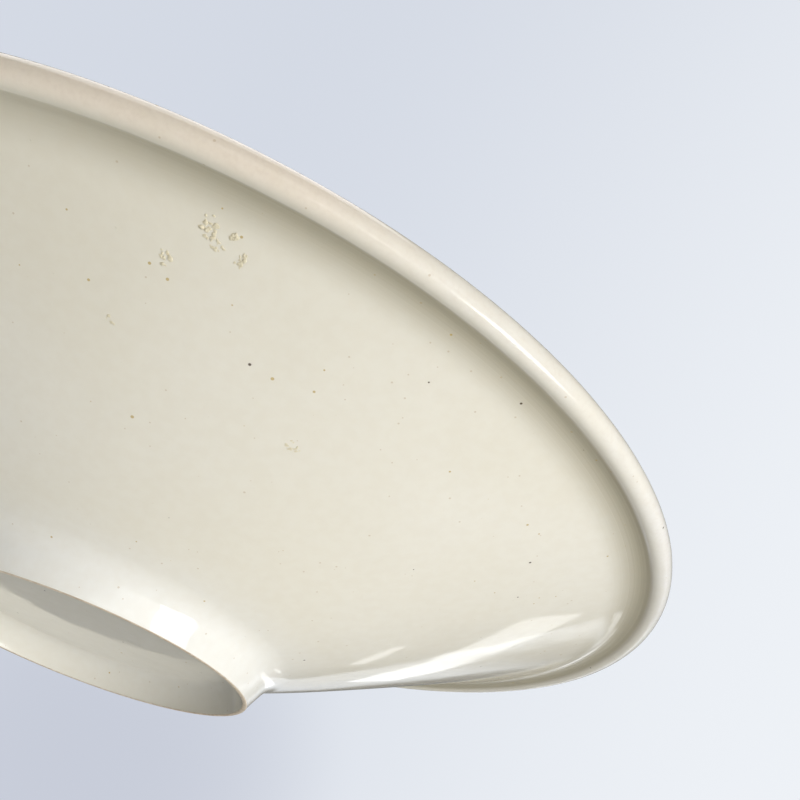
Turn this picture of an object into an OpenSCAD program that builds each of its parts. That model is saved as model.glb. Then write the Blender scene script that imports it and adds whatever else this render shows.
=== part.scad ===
// Shallow round evaporating dish of glazed ceramic: a flared wall with a rolled rim, on a turned foot ring.
// Millimetres. Z is the dish's axis and z = 0 is the face that the foot rests on.
// Each clay part and each coat of glaze is one module. They meet face to face.

/* [Overall] */
// Outside diameter over the rolled rim
rim_diameter = 250; // [120:1:400]
// Height from the foot's resting face to the top of the rim
dish_height = 44.25; // [30:0.25:80]
// Thickness of the wall above the foot, glaze included
wall_thickness = 4.4; // [3:0.1:8]
// Thickness of the floor at its centre, glaze included
floor_thickness = 4.6; // [3:0.1:10]
// Thickness of every coat of glaze
glaze = 0.35; // [0.15:0.05:0.8]

/* [Rim] */
// Diameter of the roll's round section
roll_diameter = 5; // [3:0.1:8]
// Distance from the roll's centre inward to the line where the wall ends and the cove begins
cove_run = 9.5; // [4:0.1:12]
// Height of that line below the roll's centre
cove_drop = 3.45; // [1:0.05:7]
// Angle on the roll's section at which the cove runs into it
cove_angle = 240; // [180:1:250]
// Angle on the roll's section at which the inside surface runs into it
lip_angle = 100; // [95:1:140]
// Slope of the cove where it reaches the roll, below 0 where it comes down to it
cove_exit = -30; // [-50:1:60]

/* [Wall] */
// Slope of the underside where the wall begins, beside the foot
wall_slope_low = 22.5; // [10:0.1:45]
// Slope of the underside where the wall meets the cove
wall_slope_high = 25; // [10:0.1:45]
// Slope of the inside halfway up
inside_slope = 24.2; // [10:0.1:45]
// Slope of the inside where it reaches the roll
lip_slope = 10; // [5:0.5:40]
// Distance up the wall from the foot's fillet to where the inside curve changes from floor to wall
knee_run = 24.5; // [5:0.1:40]

/* [Foot] */
// Outside diameter of the foot at its resting edge
foot_diameter = 84.2; // [40:0.1:140]
// Width of the flat bare face that the dish rests on
rest_width = 0.6; // [0.4:0.1:4]
// Radius of the wiped round on each side of the bare face
edge_round = 0.35; // [0.2:0.05:1.5]
// Slope of the foot's straight outer side
foot_slope = 61.5; // [40:0.5:85]
// Length of the straight outer side
foot_side = 4.6; // [1:0.1:12]
// Distance from the top of the straight side outward to where the fillet has become the wall
fillet_width = 5; // [2:0.1:20]
// Height that the fillet rises over that distance
fillet_rise = 4.3; // [1:0.1:15]
// Depth of the recess inside the foot at its centre
recess_depth = 6.7; // [2:0.1:12]
// Depth of the recess where its floor starts to turn down into the foot
recess_edge_depth = 6.3; // [2:0.1:12]
// Radius at which the floor starts to turn down
recess_radius = 34.5; // [15:0.1:60]
// Slope of the foot's inner side just above the resting edge
inner_slope = 118; // [95:1:150]

/* [Hidden] */
$fn = 60;
// Straight pieces in each curve of the profile.
wall_steps = 20;
fillet_steps = 10;
cove_steps = 12;
round_steps = 4;
// Point of the outer line at which the foot's glaze hands over to the wall's.
foot_split = 6;
// Step of the recess's turn at which the foot ring is joined to the floor.
recess_split = 5;

CLAY = [0.80, 0.62, 0.42];
ROLL_CLAY = [0.78, 0.59, 0.40];
FOOT_CLAY = [0.76, 0.55, 0.35];
CREAM = [0.93, 0.90, 0.82];
RIM_CREAM = [0.92, 0.86, 0.78];
WALL_CREAM = [0.91, 0.87, 0.76];
FOOT_CREAM = [0.95, 0.93, 0.88];
OLIVE_CREAM = [0.78, 0.74, 0.62];

function dir(a) = [cos(a), sin(a)];
function bezier(p, t) =
    pow(1 - t, 3) * p[0] + 3 * t * pow(1 - t, 2) * p[1] + 3 * t * t * (1 - t) * p[2] + pow(t, 3) * p[3];
// A smooth curve from p, leaving at angle a, to q, arriving at angle b.
function curve(p, a, q, b, steps) =
    let (h = norm(q - p) / 3) [for (i = [0:steps]) bezier([p, p + h * dir(a), q - h * dir(b), q], i / steps)];
function arc(c, r, from, to, steps) = [for (i = [0:steps]) c + r * dir(from + (to - from) * i / steps)];
function part(list, from, to) = [for (i = [from:to]) list[i]];
function flip(list) = [for (i = [len(list) - 1:-1:0]) list[i]];
function unit(v) = v / norm(v);
// The left-hand normal of a line of points at point i.
function normal(list, i) =
    let (d = unit(list[min(i + 1, len(list) - 1)] - list[max(i - 1, 0)])) [-d[1], d[0]];
function shifted(list, by) = [for (i = [0:len(list) - 1]) list[i] + by * normal(list, i)];

roll_radius = roll_diameter / 2;
roll_clay = roll_radius - glaze;
roll_centre = [rim_diameter / 2 - roll_radius, dish_height - roll_radius];
foot_radius = foot_diameter / 2;
rest_outer = foot_radius - edge_round;
rest_inner = rest_outer - rest_width;

// Surfaces as they are seen, glaze included.
side_start = [foot_radius, edge_round];
side_end = side_start + foot_side * dir(foot_slope);
fillet_end = side_end + [fillet_width, fillet_rise];
cove_start = roll_centre - [cove_run, cove_drop];
cove_end = roll_centre + roll_radius * dir(cove_angle);
lip_end = roll_centre + roll_radius * dir(lip_angle);
fillet_face = curve(side_end, foot_slope, fillet_end, wall_slope_low, fillet_steps);
wall_face = curve(fillet_end, wall_slope_low, cove_start, wall_slope_high, wall_steps);
cove_face = curve(cove_start, wall_slope_high, cove_end, cove_exit, cove_steps);

knee = fillet_end + knee_run * dir(inside_slope) + wall_thickness * dir(inside_slope + 90);
floor_face = curve([0, recess_depth + floor_thickness], 0, knee, inside_slope, wall_steps);
upper_face = curve(knee, inside_slope, lip_end, lip_slope, wall_steps);
inside_face = concat(part(floor_face, 0, wall_steps - 1), upper_face);

recess_start = [rest_inner - edge_round, edge_round];
recess_turn = curve(recess_start, inner_slope, [recess_radius, recess_edge_depth], 180, cove_steps);
recess_face = concat(recess_turn, [[0, recess_depth]]);

// The clay under the glaze: the same lines, moved in by one coat.
outer_all = concat(
    [side_start],
    part(fillet_face, 0, fillet_steps - 1),
    part(wall_face, 0, wall_steps - 1),
    cove_face
);
outer_clay_all = shifted(outer_all, glaze);
foot_outer = part(outer_all, 0, foot_split);
foot_outer_clay = concat([side_start], part(outer_clay_all, 1, foot_split));
underside = part(outer_all, foot_split, len(outer_all) - 1);
underside_clay = part(outer_clay_all, foot_split, len(outer_all) - 2);
inside_clay = concat([inside_face[0] - [0, glaze]], part(shifted(inside_face, -glaze), 1, len(inside_face) - 2));
recess_clay_all = shifted(recess_face, -glaze);
recess_clay = concat([recess_start], part(recess_clay_all, 1, cove_steps), [[0, recess_depth + glaze]]);
foot_inner_clay = part(recess_clay, 0, recess_split);
floor_clay = part(recess_clay, recess_split, len(recess_clay) - 1);

// The bare edge of the foot, from the inner side round the flat face to the outer side.
bare_inner = arc([rest_inner, edge_round], edge_round, 180, 270, round_steps);
bare_outer = arc([rest_outer, edge_round], edge_round, 270, 360, round_steps);

module turned() {
    rotate_extrude()
        children();
}

// Leaves out the section of the roll's clay.
module clear_of_roll() {
    difference() {
        children();
        translate(roll_centre)
            circle(roll_clay);
    }
}

// Floor and wall.
module dish_body() {
    color(CLAY)
        turned()
            clear_of_roll()
                polygon(concat(flip(floor_clay), underside_clay, [roll_centre], flip(inside_clay)));
}

// The wall's edge, turned outward and down into a round roll.
module rim_roll() {
    color(ROLL_CLAY)
        turned()
            translate(roll_centre)
                circle(roll_clay);
}

// The ring that the dish stands on, bare along its resting edge.
module foot_ring() {
    color(FOOT_CLAY)
        turned()
            polygon(concat(
                part(bare_inner, 0, round_steps),
                bare_outer,
                part(foot_outer_clay, 1, foot_split),
                part(flip(foot_inner_clay), 0, recess_split - 1)
            ));
}

// The coat inside the dish, from the centre up to the roll.
module inside_glaze() {
    color(CREAM)
        turned()
            clear_of_roll()
                polygon(concat(inside_clay, [roll_centre], flip(inside_face)));
}

// The coat round the roll, from the lip to the cove.
module rim_glaze() {
    color(RIM_CREAM)
        turned()
            difference() {
                translate(roll_centre)
                    circle(roll_radius);
                translate(roll_centre)
                    circle(roll_clay);
                wall_section();
            }
}

// Floor, wall and their coats in one outline, up to the roll's centre.
module wall_section() {
    polygon(concat([[0, recess_depth]], outer_all, [roll_centre], flip(inside_face)));
}

// The coat on the underside, from the foot's fillet through the cove to the roll.
module outside_glaze() {
    color(WALL_CREAM)
        turned()
            clear_of_roll()
                polygon(concat(underside, [roll_centre], flip(underside_clay)));
}

// The coat on the foot's outer side, ending at the bare edge.
module foot_glaze() {
    color(FOOT_CREAM)
        turned()
            polygon(concat(foot_outer, flip(part(foot_outer_clay, 1, foot_split))));
}

// The coat on the foot's inner side and over the floor of the recess.
module recess_glaze() {
    color(OLIVE_CREAM)
        turned()
            polygon(concat(recess_face, flip(part(recess_clay, 1, len(recess_clay) - 1))));
}

dish_body();
rim_roll();
foot_ring();
inside_glaze();
rim_glaze();
outside_glaze();
foot_glaze();
recess_glaze();
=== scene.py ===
"""Looks of the shallow glazed evaporating dish: its coats of glaze, bare foot edge and fired-on crumbs."""

import math
import random

import bmesh
import bpy
import numpy as np
from mathutils import Matrix, Quaternion, Vector, noise


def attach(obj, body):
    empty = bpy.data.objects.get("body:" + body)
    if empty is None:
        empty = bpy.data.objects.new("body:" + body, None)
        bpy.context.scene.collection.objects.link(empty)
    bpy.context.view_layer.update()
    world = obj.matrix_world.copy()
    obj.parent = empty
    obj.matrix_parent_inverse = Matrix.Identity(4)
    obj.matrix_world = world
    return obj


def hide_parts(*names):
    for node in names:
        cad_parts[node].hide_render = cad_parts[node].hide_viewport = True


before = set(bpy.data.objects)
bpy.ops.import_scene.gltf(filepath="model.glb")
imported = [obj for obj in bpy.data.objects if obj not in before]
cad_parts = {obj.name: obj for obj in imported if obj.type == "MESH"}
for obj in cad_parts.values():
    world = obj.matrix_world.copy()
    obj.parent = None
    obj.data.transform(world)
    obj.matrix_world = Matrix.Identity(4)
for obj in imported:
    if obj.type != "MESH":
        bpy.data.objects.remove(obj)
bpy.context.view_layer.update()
MM = 0.001


# ---------------------------------------------------------------- profile, in millimetres and degrees
# The rim: a round roll, and the cove in the wall below it.
ROLL_RADIUS = 2.5
ROLL_CENTRE = np.array([122.5, 41.75])
COVE_START = ROLL_CENTRE - np.array([9.5, 3.45])
COVE_ANGLE = 240
COVE_EXIT = -30
LIP_ANGLE = 100
LIP_SLOPE = 10
# The wall and the floor.
WALL_SLOPE_LOW = 22.5
WALL_SLOPE_HIGH = 25
WALL_THICKNESS = 4.4
INSIDE_SLOPE = 24.2
KNEE_RUN = 24.5
FLOOR_CENTRE = np.array([0.0, 11.3])
# The foot and the recess inside it.
FOOT_RADIUS = 42.1
FOOT_SLOPE = 61.5
FOOT_SIDE = 4.6
FILLET = np.array([5.0, 4.3])
EDGE_ROUND = 0.35
REST_WIDTH = 0.6
INNER_SLOPE = 118
RECESS_EDGE = np.array([34.5, 6.3])
RECESS_CENTRE = np.array([0.0, 6.7])
# On each round of the resting edge a coat begins this far round from straight down.
COAT_BEGINS = 48
# The last point of each round lies this far short of where the foot's side begins.
ROUND_STEP = 6

GLAZE = 0.35
# The middle of the dish: points closer to the axis than this count as lying on it.
ON_AXIS = 1e-6
# A patch of the surface smaller than this has no normal of its own.
NO_AREA = 1e-9
# How far the seen surface lies in from the true one on average, then the height and the scale of two waves
# that make it uneven.
INSET = 0.10
BROAD_WAVE, BROAD_SCALE = 0.08, 0.021
FINE_WAVE, FINE_SCALE = 0.02, 0.09
# The waves change this much faster up the dish than round it.
FASTER_UP = 3.0
# Below this height the unevenness fades out towards the bare edge.
EDGE_FADE = 1.5
AROUND = 540


def direction(degrees):
    a = math.radians(degrees)
    return np.array([math.cos(a), math.sin(a)])


def curve(p, a, q, b, steps):
    """A smooth curve from p, leaving at angle a, to q, arriving at angle b."""
    h = np.linalg.norm(q - p) / 3
    c = [p, p + h * direction(a), q - h * direction(b), q]
    t = np.linspace(0, 1, steps + 1)[:, None]
    return (1 - t) ** 3 * c[0] + 3 * t * (1 - t) ** 2 * c[1] + 3 * t * t * (1 - t) * c[2] + t**3 * c[3]


def arc(centre, radius, start, end, steps):
    return np.array([centre + radius * direction(a) for a in np.linspace(start, end, steps + 1)])


rest_outer = FOOT_RADIUS - EDGE_ROUND
rest_inner = rest_outer - REST_WIDTH
side_start = np.array([FOOT_RADIUS, EDGE_ROUND])
side_end = side_start + FOOT_SIDE * direction(FOOT_SLOPE)
fillet_end = side_end + FILLET
knee = fillet_end + KNEE_RUN * direction(INSIDE_SLOPE) + WALL_THICKNESS * direction(INSIDE_SLOPE + 90)
cove_end = ROLL_CENTRE + ROLL_RADIUS * direction(COVE_ANGLE)
lip_end = ROLL_CENTRE + ROLL_RADIUS * direction(LIP_ANGLE)

side = np.vstack([
    arc(np.array([rest_outer, EDGE_ROUND]), EDGE_ROUND, 270 + COAT_BEGINS, 360 - ROUND_STEP, steps=4),
    np.linspace(side_start, side_end, 9),
])
fillet = curve(side_end, FOOT_SLOPE, fillet_end, WALL_SLOPE_LOW, steps=20)
wall = curve(fillet_end, WALL_SLOPE_LOW, COVE_START, WALL_SLOPE_HIGH, steps=44)
cove = curve(COVE_START, WALL_SLOPE_HIGH, cove_end, COVE_EXIT, steps=24)
roll = arc(ROLL_CENTRE, ROLL_RADIUS, COVE_ANGLE, LIP_ANGLE + 360, steps=54)
inside_high = curve(knee, INSIDE_SLOPE, lip_end, LIP_SLOPE, steps=36)[::-1]
inside_low = curve(FLOOR_CENTRE, 0, knee, INSIDE_SLOPE, steps=36)[::-1]
recess = np.vstack([
    arc(np.array([rest_inner, EDGE_ROUND]), EDGE_ROUND, 270 - COAT_BEGINS, 180 + ROUND_STEP, steps=4),
    curve(np.array([rest_inner - EDGE_ROUND, EDGE_ROUND]), INNER_SLOPE, RECESS_EDGE, 180, steps=22),
    np.linspace(RECESS_EDGE, RECESS_CENTRE, 20)[1:],
])

# One line round the dish from the foot's bare edge to the middle of the inside, and the points at which one
# coat hands over to the next. Each stretch after the first leaves out its own first point.
line = np.vstack([side, fillet[1:], wall[1:], cove[1:], roll[1:], inside_high[1:], inside_low[1:]])
AT_FOOT_END = len(side) + 9
AT_COVE_END = len(side) + len(fillet) + len(wall) + len(cove) - 4
AT_LIP = AT_COVE_END + len(roll) - 1


# ---------------------------------------------------------------- coats of glaze
def around():
    """The angles of the points round the dish's axis."""
    return np.linspace(0, 2 * math.pi, AROUND, endpoint=False)


def wobble(r, z, a):
    """How far a point of the glaze lies in from its true surface, in millimetres, as hand work leaves it."""
    p = Vector((r * math.cos(a), r * math.sin(a), z * FASTER_UP))
    broad = noise.noise(p * BROAD_SCALE + Vector((7.3, 1.1, 4.2)))
    fine = noise.noise(p * FINE_SCALE + Vector((1.7, 8.8, 2.5)))
    return INSET + BROAD_WAVE * broad + FINE_WAVE * fine


def turned_round(flat):
    """Points or directions in the profile's plane, turned round the axis: a row of AROUND for each."""
    angles = around()
    full = np.zeros((len(flat), AROUND, 3))
    full[:, :, 0] = flat[:, 0, None] * np.cos(angles)
    full[:, :, 1] = flat[:, 0, None] * np.sin(angles)
    full[:, :, 2] = flat[:, 1, None]
    return full


class Turned:
    """A profile line turned round the axis, with the points and normals of its slightly uneven surface."""

    def __init__(self, profile):
        tangent = np.gradient(profile, axis=0)
        # The outside of the dish lies to the right of the line.
        out = np.stack([tangent[:, 1], -tangent[:, 0]], 1)
        self.profile = profile
        self.out = out / np.linalg.norm(out, axis=1)[:, None]
        points = self.uneven_points()
        self.normals = self.outward_normals(points)
        self.points = points * MM

    def uneven_points(self):
        """The points of the seen surface, in millimetres."""
        points = np.zeros((len(self.profile), AROUND, 3))
        for i, (r, z) in enumerate(self.profile):
            for j, a in enumerate(around()):
                depth = wobble(r, z, a) * min(1.0, z / EDGE_FADE) if r > ON_AXIS else INSET
                seen_r, seen_z = r - depth * self.out[i, 0], z - depth * self.out[i, 1]
                points[i, j] = (seen_r * math.cos(a), seen_r * math.sin(a), seen_z)
        return points

    def outward_normals(self, points):
        """The normals of the seen surface, and the profile's own where the points close up on the axis."""
        along = np.gradient(points, axis=0)
        across = np.roll(points, -1, 1) - np.roll(points, 1, 1)
        normals = np.cross(along, across)
        length = np.linalg.norm(normals, axis=2, keepdims=True)
        normals = normals / np.maximum(length, NO_AREA)
        reference = turned_round(self.out)
        sign = np.sign((normals * reference).sum(2, keepdims=True))
        return np.where(length > NO_AREA, normals * np.where(sign == 0, 1, sign), reference)


def added(name, data):
    """A new object of that mesh, camera or light, in the scene."""
    obj = bpy.data.objects.new(name, data)
    bpy.context.scene.collection.objects.link(obj)
    return obj


def back_points(turned, first, last):
    """The face of a coat that lies on the clay, in metres: one coat's thickness in from the true surface."""
    back = turned.profile[first:last + 1] - GLAZE * turned.out[first:last + 1]
    back[:, 0] = np.maximum(back[:, 0], 0)
    return turned_round(back) * MM


def coat_faces(rows, open_rows):
    """The faces of a coat of that many rows: the seen face, the face on the clay and the open edges."""
    def at(face, i, j):
        return face * rows * AROUND + i * AROUND + j % AROUND

    faces = []
    for i in range(rows - 1):
        for j in range(AROUND):
            faces.append([at(0, i, j), at(0, i, j + 1), at(0, i + 1, j + 1), at(0, i + 1, j)])
    for i in range(rows - 1):
        for j in range(AROUND):
            faces.append([at(1, i, j), at(1, i + 1, j), at(1, i + 1, j + 1), at(1, i, j + 1)])
    for i in open_rows:
        for j in range(AROUND):
            quad = [at(0, i, j), at(1, i, j), at(1, i, j + 1), at(0, i, j + 1)]
            faces.append(quad if i == 0 else quad[::-1])
    return faces


def coat(name, turned, first, last, node):
    """A coat of glaze from point first to point last of a turned line: its two faces and its open edges."""
    rows = last - first + 1
    open_rows = [i for i in (0, rows - 1) if turned.profile[first + i, 0] >= ON_AXIS]
    front = turned.points[first:last + 1].reshape(-1, 3)
    corners = np.vstack([front, back_points(turned, first, last).reshape(-1, 3)])
    faces = coat_faces(rows, open_rows)
    n_front = (rows - 1) * AROUND
    mesh = bpy.data.meshes.new(name)
    mesh.from_pydata(corners.tolist(), [], faces)
    # The winding of the seen face follows its normals.
    vertex_normal = turned.normals[first:last + 1].reshape(-1, 3)
    middle = faces[n_front // 2]
    a, b, c = corners[middle[:3]]
    if np.dot(np.cross(b - a, c - b), vertex_normal[middle[0]]) < 0:
        mesh.flip_normals()
    mesh.shade_smooth()
    # The seen face is shaded by the surface's own normals, and the rest of the coat is flat.
    loops = np.zeros((len(mesh.loops), 3), np.float32)
    for face in mesh.polygons:
        loops[face.loop_start:face.loop_start + face.loop_total] = face.normal
    index = np.zeros(len(mesh.loops), np.int64)
    mesh.loops.foreach_get("vertex_index", index)
    seen = np.arange(len(mesh.loops)) < 4 * n_front
    loops[seen] = vertex_normal[index[seen]]
    mesh.normals_split_custom_set(loops.tolist())
    obj = added(name, mesh)
    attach(obj, "root")
    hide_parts(node)
    return obj


outer = Turned(line)
under = Turned(recess[::-1])
pieces = {
    "foot_glaze": coat("foot_coat", outer, 0, AT_FOOT_END, "foot_glaze"),
    "outside_glaze": coat("outside_coat", outer, AT_FOOT_END, AT_COVE_END, "outside_glaze"),
    "rim_glaze": coat("rim_coat", outer, AT_COVE_END, AT_LIP, "rim_glaze"),
    "inside_glaze": coat("inside_coat", outer, AT_LIP, len(line) - 1, "inside_glaze"),
    "recess_glaze": coat("recess_coat", under, 0, len(recess) - 1, "recess_glaze"),
}


# ---------------------------------------------------------------- the foot's clay
def foot_edge():
    """The clay of the foot: its bare resting face and rounds, and the core between its two coats of glaze."""
    # How far the core lies in from the two seen sides, and how far up the outer side it begins and ends.
    inset = np.array([0.22, 0.0])
    begins, ends = 0.6, 3.6
    # The point of the recess's line where the core comes out on the inner side.
    at_inner_side = 9
    # Points of each round from the resting face up, as steps out and up.
    round_steps = [np.array([0.0, 0.0]), np.array([0.16, 0.06]), np.array([0.22, 0.20])]
    outer_round = [np.array([rest_outer, 0]) + step for step in round_steps]
    inner_round = [np.array([rest_inner, 0]) + step * (-1, 1) for step in round_steps]
    core = [
        side_start + begins * direction(FOOT_SLOPE) - inset,
        side_start + ends * direction(FOOT_SLOPE) - inset,
        np.array([rest_inner - 1.4, 3.3]),
        recess[at_inner_side] + inset,
    ]
    bm = bmesh.new()
    rings = []
    for r, z in [*outer_round, *core, *inner_round[::-1]]:
        rings.append([bm.verts.new((r * MM * math.cos(a), r * MM * math.sin(a), z * MM)) for a in around()])
    for i, ring in enumerate(rings):
        following = rings[(i + 1) % len(rings)]
        for j in range(AROUND):
            k = (j + 1) % AROUND
            bm.faces.new((ring[j], ring[k], following[k], following[j]))
    bmesh.ops.recalc_face_normals(bm, faces=bm.faces)
    mesh = bpy.data.meshes.new("foot_edge")
    bm.to_mesh(mesh)
    bm.free()
    mesh.shade_smooth()
    obj = added("foot_edge", mesh)
    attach(obj, "root")
    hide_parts("foot_ring")
    return obj


# ---------------------------------------------------------------- materials
class Nodes:
    """Short ways to add nodes to a tree. Textures lie in one space of the Texture Coordinate node."""

    def __init__(self, tree, space="Object"):
        self.tree = tree
        self.tree.nodes.clear()
        self.place = self.add("ShaderNodeTexCoord").outputs[space]

    def add(self, kind, **settings):
        node = self.tree.nodes.new(kind)
        for key, value in settings.items():
            setattr(node, key, value)
        return node

    def put(self, socket, value):
        if isinstance(value, bpy.types.NodeSocket):
            self.tree.links.new(value, socket)
        else:
            socket.default_value = value

    def axes(self):
        """X, Y and Z of the place."""
        node = self.add("ShaderNodeSeparateXYZ")
        self.put(node.inputs["Vector"], self.place)
        return [node.outputs[axis] for axis in "XYZ"]

    def towards(self, way):
        """How far the place lies in a direction."""
        node = self.add("ShaderNodeVectorMath", operation="DOT_PRODUCT")
        self.put(node.inputs[0], self.place)
        node.inputs[1].default_value = way
        return node.outputs["Value"]

    def moved(self, offset):
        node = self.add("ShaderNodeMapping")
        self.put(node.inputs["Vector"], self.place)
        node.inputs["Location"].default_value = offset
        return node.outputs["Vector"]

    def noise(self, scale, detail, offset=(0, 0, 0)):
        node = self.add("ShaderNodeTexNoise")
        self.put(node.inputs["Vector"], self.moved(offset))
        node.inputs["Scale"].default_value = scale
        node.inputs["Detail"].default_value = detail
        return node.outputs["Fac"]

    def rings(self, reach, scale):
        """Noise that changes only with the distance from the axis, like the lines that turning leaves."""
        node = self.add("ShaderNodeTexNoise", noise_dimensions="1D")
        self.put(node.inputs["W"], reach)
        node.inputs["Scale"].default_value = scale
        return node.outputs["Fac"]

    def ramp(self, value, low, high, to_low=0.0, to_high=1.0, smooth=True):
        node = self.add("ShaderNodeMapRange", interpolation_type="SMOOTHSTEP" if smooth else "LINEAR")
        self.put(node.inputs["Value"], value)
        for key, number in (("From Min", low), ("From Max", high), ("To Min", to_low), ("To Max", to_high)):
            self.put(node.inputs[key], number)
        return node.outputs["Result"]

    def math(self, operation, a, b=0.0):
        node = self.add("ShaderNodeMath", operation=operation)
        self.put(node.inputs[0], a)
        self.put(node.inputs[1], b)
        return node.outputs[0]

    def times(self, a, b):
        return self.math("MULTIPLY", a, b)

    def mix(self, factor, a, b):
        node = self.add("ShaderNodeMix", data_type="RGBA")
        self.put(node.inputs["Factor"], factor)
        self.put(node.inputs["A"], a)
        self.put(node.inputs["B"], b)
        return node.outputs["Result"]

    def bump(self, height, distance, onto=None):
        node = self.add("ShaderNodeBump")
        node.inputs["Strength"].default_value = 1.0
        node.inputs["Distance"].default_value = distance
        self.put(node.inputs["Height"], height)
        if onto is not None:
            self.put(node.inputs["Normal"], onto)
        return node.outputs["Normal"]

    def specks(self, cell, radius, share, offset):
        """Small round soft-edged spots: a share of the cells of that size hold one of up to that radius."""
        node = self.add("ShaderNodeTexVoronoi")
        self.put(node.inputs["Vector"], self.moved(offset))
        node.inputs["Scale"].default_value = 1 / cell
        split = self.add("ShaderNodeSeparateColor")
        self.put(split.inputs["Color"], node.outputs["Color"])
        chosen = self.math("LESS_THAN", split.outputs["Red"], share)
        size = self.ramp(split.outputs["Green"], 0, 1, 0.45 * radius / cell, radius / cell, smooth=False)
        spot = self.ramp(self.math("DIVIDE", node.outputs["Distance"], size), 0.7, 1.0, 1.0, 0.0)
        return self.times(spot, chosen)

    def shade(self, colour, roughness, normal, ior, subsurface=0.0):
        """The shader and the material's output."""
        shader = self.add("ShaderNodeBsdfPrincipled")
        self.put(shader.inputs["Base Color"], colour)
        self.put(shader.inputs["Roughness"], roughness)
        self.put(shader.inputs["Normal"], normal)
        shader.inputs["IOR"].default_value = ior
        shader.inputs["Subsurface Weight"].default_value = subsurface
        shader.inputs["Subsurface Scale"].default_value = 0.002
        shader.inputs["Subsurface Radius"].default_value = (1.0, 0.8, 0.5)
        output = self.add("ShaderNodeOutputMaterial")
        self.put(output.inputs["Surface"], shader.outputs["BSDF"])
        return shader


def new_material(name):
    """A new material and the nodes to build it with."""
    material = bpy.data.materials.new(name)
    material.use_nodes = True
    return material, Nodes(material.node_tree)


CREAM = (0.83, 0.785, 0.675, 1)
DEEP_CREAM = (0.79, 0.735, 0.60, 1)
# Painted shade: a darker glaze for the recess inside the foot.
SHADED_RECESS_CREAM = (0.78, 0.735, 0.63, 1)
DEEP_SHADED_RECESS_CREAM = (0.74, 0.69, 0.56, 1)
CRUMB_CREAM = (0.76, 0.69, 0.50, 1)
DEEP_CRUMB_CREAM = (0.72, 0.64, 0.45, 1)
BLUSH = (0.80, 0.69, 0.56, 1)
RIM_CREAM = (0.81, 0.765, 0.675, 1)
# Painted light on the roll towards the dish's right.
RIM_PAINTED_LIGHT = (0.81, 0.79, 0.76, 1)
STIPPLE = (0.60, 0.48, 0.38, 1)
# Painted shade of the cove under the roll.
COVE_SHADE = (0.48, 0.43, 0.31, 1)
# Painted light and sheen, whitening the glaze low on the foot.
FOOT_PAINTED_LIGHT = (0.86, 0.84, 0.78, 1)
MOTTLE = (0.60, 0.48, 0.30, 1)
BODY_CLAY = (0.60, 0.45, 0.29, 1)
DEEP_BODY_CLAY = (0.52, 0.37, 0.22, 1)
FOOT_CLAY = (0.70, 0.60, 0.46, 1)
DEEP_FOOT_CLAY = (0.64, 0.53, 0.39, 1)
CLAY_GRAIN = (0.25, 0.14, 0.07, 1)
# Between these, in metres, a tone comes in or fades out: a height on the foot for the painted light there,
# then distances from the axis for the painted shade in the cove and for the roll.
FOOT_LIGHT_FADES = (0.004, 0.013)
COVE_SHADE_DEEPENS = (0.1112, 0.1200)
COVE_SHADE_ENDS = (0.1206, 0.1217)
ROLL_BEGINS = (0.1216, 0.1245)
# Size of the cells and largest radius in metres, share of the cells, offset, strength and colour. They are
# faint specks, ochre ones, and last the dark ones, which are pits too.
SPECKS = (
    (0.0016, 0.00026, 0.14, (0.2, 0.9, 0.4), 0.38, (0.45, 0.30, 0.12, 1)),
    (0.0034, 0.00036, 0.24, (0.6, 0.2, 0.8), 0.75, (0.50, 0.34, 0.07, 1)),
    (0.0050, 0.00038, 0.17, (0.9, 0.4, 0.1), 0.92, (0.07, 0.04, 0.02, 1)),
)


def cove_shade_depth(m, reach, x):
    """Painted shade in the cove under the roll: 1 where it is darkest, and less on the dish's left, where
    more light reaches the cove.
    """
    depth = m.times(m.ramp(reach, *COVE_SHADE_DEEPENS), m.ramp(reach, *COVE_SHADE_ENDS, 1.0, 0.0))
    return m.times(depth, m.ramp(x, -0.045, 0.0, 0.6, 1.0))


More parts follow.
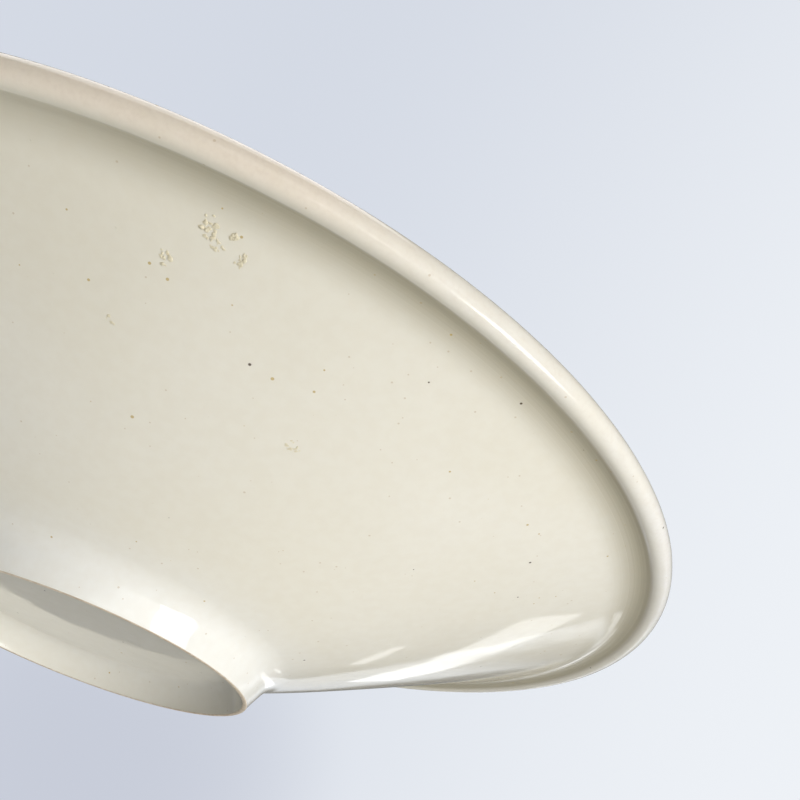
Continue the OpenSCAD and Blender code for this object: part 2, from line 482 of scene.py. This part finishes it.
def glaze(name, light, deep, cove_shaded=False, rough=0.05, foot_light=0.8):
    """A glossy cream glaze with fine specks, whitened low on the foot by painted light and sheen; the last
    argument sets how strongly.
    """
    material, m = new_material(name)
    x, y, z = m.axes()
    reach = m.math("SQRT", m.math("ADD", m.math("POWER", x, 2.0), m.math("POWER", y, 2.0)))
    colour = m.mix(m.ramp(m.noise(9, 3, (0.3, 0.1, 0.7)), 0.35, 0.65), light, deep)
    # Painted light and sheen: the glaze turns whiter low on the foot, where the lamps light it most.
    colour = m.mix(m.ramp(z, *FOOT_LIGHT_FADES, foot_light, 0.0), colour, FOOT_PAINTED_LIGHT)
    if cove_shaded:
        # Painted shade: darker and greener in the cove under the roll.
        depth = cove_shade_depth(m, reach, x)
        colour = m.mix(depth, colour, COVE_SHADE)
    # The coat thins over the roll: it is finely stippled, and on one side the warm clay shows through.
    uneven = m.ramp(m.noise(60, 3, (0.2, 0.2, 0.6)), 0.2, 0.8, 0.55, 1)
    on_roll = m.times(m.ramp(reach, *ROLL_BEGINS), uneven)
    stipple = m.times(m.ramp(m.noise(1500, 3, (0.4, 0.6, 0.9)), 0.42, 0.72), on_roll)
    on_rim = m.mix(m.ramp(x, -0.005, 0.035), BLUSH, RIM_CREAM)
    # Painted light: towards the dish's right, where the lamps are, the roll turns whiter.
    on_rim = m.mix(m.ramp(x, 0.05, 0.11), on_rim, RIM_PAINTED_LIGHT)
    colour = m.mix(on_roll, colour, on_rim)
    colour = m.mix(m.times(stipple, 0.16), colour, STIPPLE)
    mottle = m.ramp(m.noise(420, 4, (0.1, 0.5, 0.2)), 0.3, 0.7)
    colour = m.mix(m.times(mottle, 0.07), colour, MOTTLE)
    for cell, radius, share, offset, strength, tint in SPECKS:
        spots = m.specks(cell, radius, share, offset)
        colour = m.mix(m.times(spots, strength), colour, tint)
    # Bumps, each onto the one before: slow waves, orange peel, the rim's stipple, pinholes and dark specks.
    normal = m.bump(m.noise(48, 2, (0.4, 0.8, 0.3)), 0.00018)
    normal = m.bump(m.noise(700, 2, (0.5, 0.1, 0.9)), 0.0000035, onto=normal)
    normal = m.bump(stipple, 0.000006, onto=normal)
    pinholes = m.specks(0.0030, 0.00024, 0.12, (0.15, 0.65, 0.35))
    normal = m.bump(m.times(m.math("ADD", pinholes, spots), -1.0), 0.00004, onto=normal)
    if cove_shaded:
        normal = m.bump(m.times(m.rings(reach, 1500), depth), 0.00006, onto=normal)
    roughness = m.ramp(m.noise(160, 3, (0.7, 0.7, 0.1)), 0.3, 0.7, rough, rough + 0.04)
    m.shade(colour, roughness, normal, ior=1.52, subsurface=0.04)
    return material


def clay(name, light, deep):
    """Matt fired clay with a fine dark grain."""
    material, m = new_material(name)
    grain = m.ramp(m.noise(900, 5, (0.3, 0.3, 0.8)), 0.3, 0.7)
    colour = m.mix(m.ramp(m.noise(30, 3, (0.8, 0.2, 0.5)), 0.35, 0.65), light, deep)
    colour = m.mix(m.times(grain, 0.35), colour, CLAY_GRAIN)
    roughness = m.ramp(grain, 0, 1, 0.55, 0.8)
    m.shade(colour, roughness, m.bump(m.noise(1400, 4, (0.2, 0.6, 0.6)), 0.00004), ior=1.45)
    return material


cream_glaze = glaze("cream_glaze", CREAM, DEEP_CREAM)
wall_glaze = glaze("wall_glaze", CREAM, DEEP_CREAM, cove_shaded=True)
# Painted shade: the recess inside the foot has a darker glaze and less of the painted light low on the foot.
recess_glaze = glaze("recess_glaze", SHADED_RECESS_CREAM, DEEP_SHADED_RECESS_CREAM, foot_light=0.35)
for slot, material in (("foot_glaze", cream_glaze), ("inside_glaze", cream_glaze), ("rim_glaze", wall_glaze),
                       ("outside_glaze", wall_glaze), ("recess_glaze", recess_glaze)):
    pieces[slot].data.materials.append(material)


# ---------------------------------------------------------------- crumbs on the underside
# Half the length of a grain, from least to most, and how deep it is sunk, in millimetres.
CRUMB_LENGTH = (0.16, 0.46)
CRUMB_SUNK = 0.13


def on_wall(radius, azimuth):
    """A point on the underside at that radius, and its outward normal and up-slope directions."""
    i = int(np.argmin(np.abs(line[:AT_COVE_END, 0] - radius)))
    step = line[i + 1] - line[i - 1]
    step /= np.linalg.norm(step)
    z = line[i, 1] + (radius - line[i, 0]) * step[1] / step[0]
    a = math.radians(azimuth)
    outward = Vector((math.cos(a), math.sin(a), 0))
    slope = outward * step[0] + Vector((0, 0, step[1]))
    normal = outward * step[1] - Vector((0, 0, step[0]))
    return Vector((radius * math.cos(a), radius * math.sin(a), z)) * MM, normal, slope


def grain(bm, rng, radius, azimuth):
    """One low irregular lump, sunk a little into the glaze."""
    sunk = CRUMB_SUNK * MM
    centre, normal, slope = on_wall(radius, azimuth)
    across = normal.cross(slope)
    turn = rng.uniform(0, math.pi)
    length = rng.uniform(*CRUMB_LENGTH) * MM
    width = length * rng.uniform(0.5, 0.95)
    height = length * rng.uniform(0.26, 0.42)
    u = slope * math.cos(turn) + across * math.sin(turn)
    v = across * math.cos(turn) - slope * math.sin(turn)
    shift = Vector((rng.random(), rng.random(), rng.random())) * 50
    for vert in bmesh.ops.create_icosphere(bm, subdivisions=3, radius=1.0)["verts"]:
        coarse = 0.45 * noise.noise(vert.co * 1.3 + shift)
        fine = 0.18 * noise.noise(vert.co * 3.1 + shift)
        c = vert.co * (1 + coarse + fine)
        vert.co = centre + u * c.x * length + v * c.y * width + normal * (c.z * height - sunk)


def crumbs(name, groups, seed):
    """Grains that fell on the wet glaze and fired on, in loose groups."""
    rng = random.Random(seed)
    bm = bmesh.new()
    for radius, azimuth, spread, count in groups:
        for _ in range(count):
            r = radius + rng.gauss(0, spread)
            a = azimuth + math.degrees(rng.gauss(0, spread) / radius)
            grain(bm, rng, r, a)
    mesh = bpy.data.meshes.new(name)
    bm.to_mesh(mesh)
    bm.free()
    mesh.shade_smooth()
    obj = added(name, mesh)
    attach(obj, "root")
    obj.data.materials.append(glaze(name + "_glaze", CRUMB_CREAM, DEEP_CRUMB_CREAM, rough=0.38))


# Radius, azimuth, spread and number of grains of each group, first those on the camera's side.
CRUMBS = [(112.0, -94.8, 0.55, 12), (111.1, -94.5, 0.5, 10), (109.9, -93.8, 0.5, 12), (111.9, -92.7, 0.3, 9),
          (109.9, -91.5, 0.4, 11), (108.8, -91.6, 0.4, 9), (105.1, -96.9, 0.55, 9), (92.5, -100.5, 0.35, 6),
          (86.8, -78.0, 0.7, 12)]
SCATTERED = 14
scatter = random.Random(11)
for _ in range(SCATTERED):
    CRUMBS.append((scatter.uniform(60, 112), scatter.uniform(0, 230), scatter.uniform(0.3, 0.8),
                   scatter.randint(3, 12)))
crumbs("fired_crumbs", CRUMBS, 5)

# ---------------------------------------------------------------- clay
body_clay = clay("body_clay", BODY_CLAY, DEEP_BODY_CLAY)
foot_clay = clay("foot_clay", FOOT_CLAY, DEEP_FOOT_CLAY)
foot_edge().data.materials.append(foot_clay)
for node, material in (("dish_body", body_clay), ("rim_roll", body_clay), ("foot_ring", foot_clay)):
    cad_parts[node].data.materials.clear()
    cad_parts[node].data.materials.append(material)


# ---------------------------------------------------------------- camera
def camera():
    """The camera: below the rim and close to it, looking up at the underside."""
    data = bpy.data.cameras.new("view")
    data.sensor_width = 36
    data.lens = 40.275
    data.clip_start = 0.01
    obj = added("view", data)
    forward = Vector((0.201, 0.8268, 0.5254)).normalized()
    up = Vector((0.8732, -0.3943, 0.2864)).normalized().cross(forward).normalized()
    right = forward.cross(up)
    # Its place is counted in rim radii from the middle of the foot's resting face.
    rim_radius = float(ROLL_CENTRE[0] + ROLL_RADIUS) * MM
    place = Vector((0, -1.734, -0.3231)) * rim_radius
    obj.matrix_world = Matrix((
        (right.x, up.x, -forward.x, place.x),
        (right.y, up.y, -forward.y, place.y),
        (right.z, up.z, -forward.z, place.z),
        (0, 0, 0, 1),
    ))
    return obj


bpy.context.scene.camera = camera()

# ---------------------------------------------------------------- stage and light
FLOOR_Z = -0.75
FLOOR_RADIUS = 4.6


def floor():
    mesh = bpy.data.meshes.new("floor")
    edge = [FLOOR_RADIUS * direction(a) for a in np.linspace(0, 360, 120, endpoint=False)]
    mesh.from_pydata([(x, y, FLOOR_Z) for x, y in edge], [], [tuple(range(len(edge)))])
    obj = added("floor", mesh)
    material, m = new_material("pale_floor")
    colour = m.mix(m.ramp(m.noise(2.5, 3), 0.3, 0.7), (0.80, 0.81, 0.82, 1), (0.74, 0.75, 0.77, 1))
    shader = m.shade(colour, 0.7, m.bump(m.noise(80, 3), 0.0005), ior=1.4)
    # Only the camera sees the glow, so the floor looks pale but throws little light up on the underside.
    seen = m.add("ShaderNodeLightPath").outputs["Is Camera Ray"]
    shader.inputs["Emission Color"].default_value = (0.93, 0.96, 1.0, 1)
    m.put(shader.inputs["Emission Strength"], m.times(seen, 0.5))
    mesh.materials.append(material)


def lamp(name, towards, distance, size, power, colour, tilt=0):
    """An area light seen in the given direction from the dish, facing it, turned by the tilt in degrees."""
    data = bpy.data.lights.new(name, "AREA")
    data.shape = "RECTANGLE"
    data.size, data.size_y = size
    data.energy = power
    data.color = colour
    obj = added(name, data)
    aim = Vector((0, -0.04, 0.02))
    obj.location = aim + Vector(towards).normalized() * distance
    facing = (aim - obj.location).to_track_quat("-Z", "Y")
    obj.rotation_euler = (facing @ Quaternion((0, 0, 1), math.radians(tilt))).to_euler()
    obj.visible_camera = False
    return obj


def lamps():
    # Small, and closer than the others.
    lamp("key", (0.667, -0.455, -0.59), 0.75, (0.28, 0.22), 1.35, (0.98, 0.99, 1.0))
    # Soft light on the underside from below, from the side and from behind the camera.
    lamp("soft_low", (0.37, -0.69, -0.62), 1.1, (0.9, 0.5), 2.45, (0.97, 0.99, 1.0))
    side_lamp = lamp("soft_side", (0.72, -0.64, -0.16), 1.1, (1.5, 0.9), 8.5, (0.98, 0.99, 1.0))
    side_lamp.visible_glossy = False
    lamp("camera_side", (0.15, -0.98, -0.12), 1.1, (1.2, 0.5), 1.65, (0.98, 0.99, 1.0))
    # Weak and narrow, beyond the dish, where the underside mirrors them.
    lamp("side_window", (0.565, 0.777, -0.276), 1.0, (0.12, 0.03), 0.012, (1.0, 1.0, 1.0), tilt=30)
    lamp("far_table", (0.61, 0.78, -0.118), 1.1, (0.50, 0.09), 0.16, (0.96, 0.98, 1.0), tilt=30)
    # The inside of the dish.
    lamp("ceiling", (-0.3, -0.1, 1.0), 1.3, (1.4, 1.4), 12.5, (0.97, 0.985, 1.0))


def room():
    """A pale room: one gradient for the camera, and a darker one that lights the dish and is mirrored."""
    world = bpy.data.worlds.new("pale_room")
    bpy.context.scene.world = world
    world.use_nodes = True
    w = Nodes(world.node_tree, "Generated")
    x, y, z = w.axes()
    seen = w.mix(w.ramp(x, -0.1, 0.75), (0.66, 0.70, 0.78, 1), (0.86, 0.89, 0.93, 1))
    haze = w.ramp(w.towards((0.07, 0.99, 0.085)), 0.96, 1.0, 0.0, 0.75)
    seen = w.mix(haze, seen, (0.54, 0.57, 0.66, 1))
    to_window = w.ramp(w.towards((0.95, 0.30, 0)), -0.3, 0.9)
    unseen = w.mix(to_window, (0.11, 0.11, 0.12, 1), (0.82, 0.87, 0.95, 1))
    # Dim above the horizon, and from a little below it except beyond the dish.
    not_beyond = w.ramp(y, 0.78, 0.90, 1.0, 0.0)
    dusk = w.math("MAXIMUM", w.ramp(z, 0.02, 0.12), w.times(w.ramp(z, -0.16, -0.06), not_beyond))
    unseen = w.mix(dusk, unseen, (0.15, 0.15, 0.145, 1))
    for_camera = w.add("ShaderNodeLightPath").outputs["Is Camera Ray"]
    glow = w.add("ShaderNodeBackground")
    w.put(glow.inputs["Color"], w.mix(for_camera, unseen, seen))
    w.put(w.add("ShaderNodeOutputWorld").inputs["Surface"], glow.outputs["Background"])


floor()
lamps()
room()
bpy.context.scene.view_settings.view_transform = "Standard"
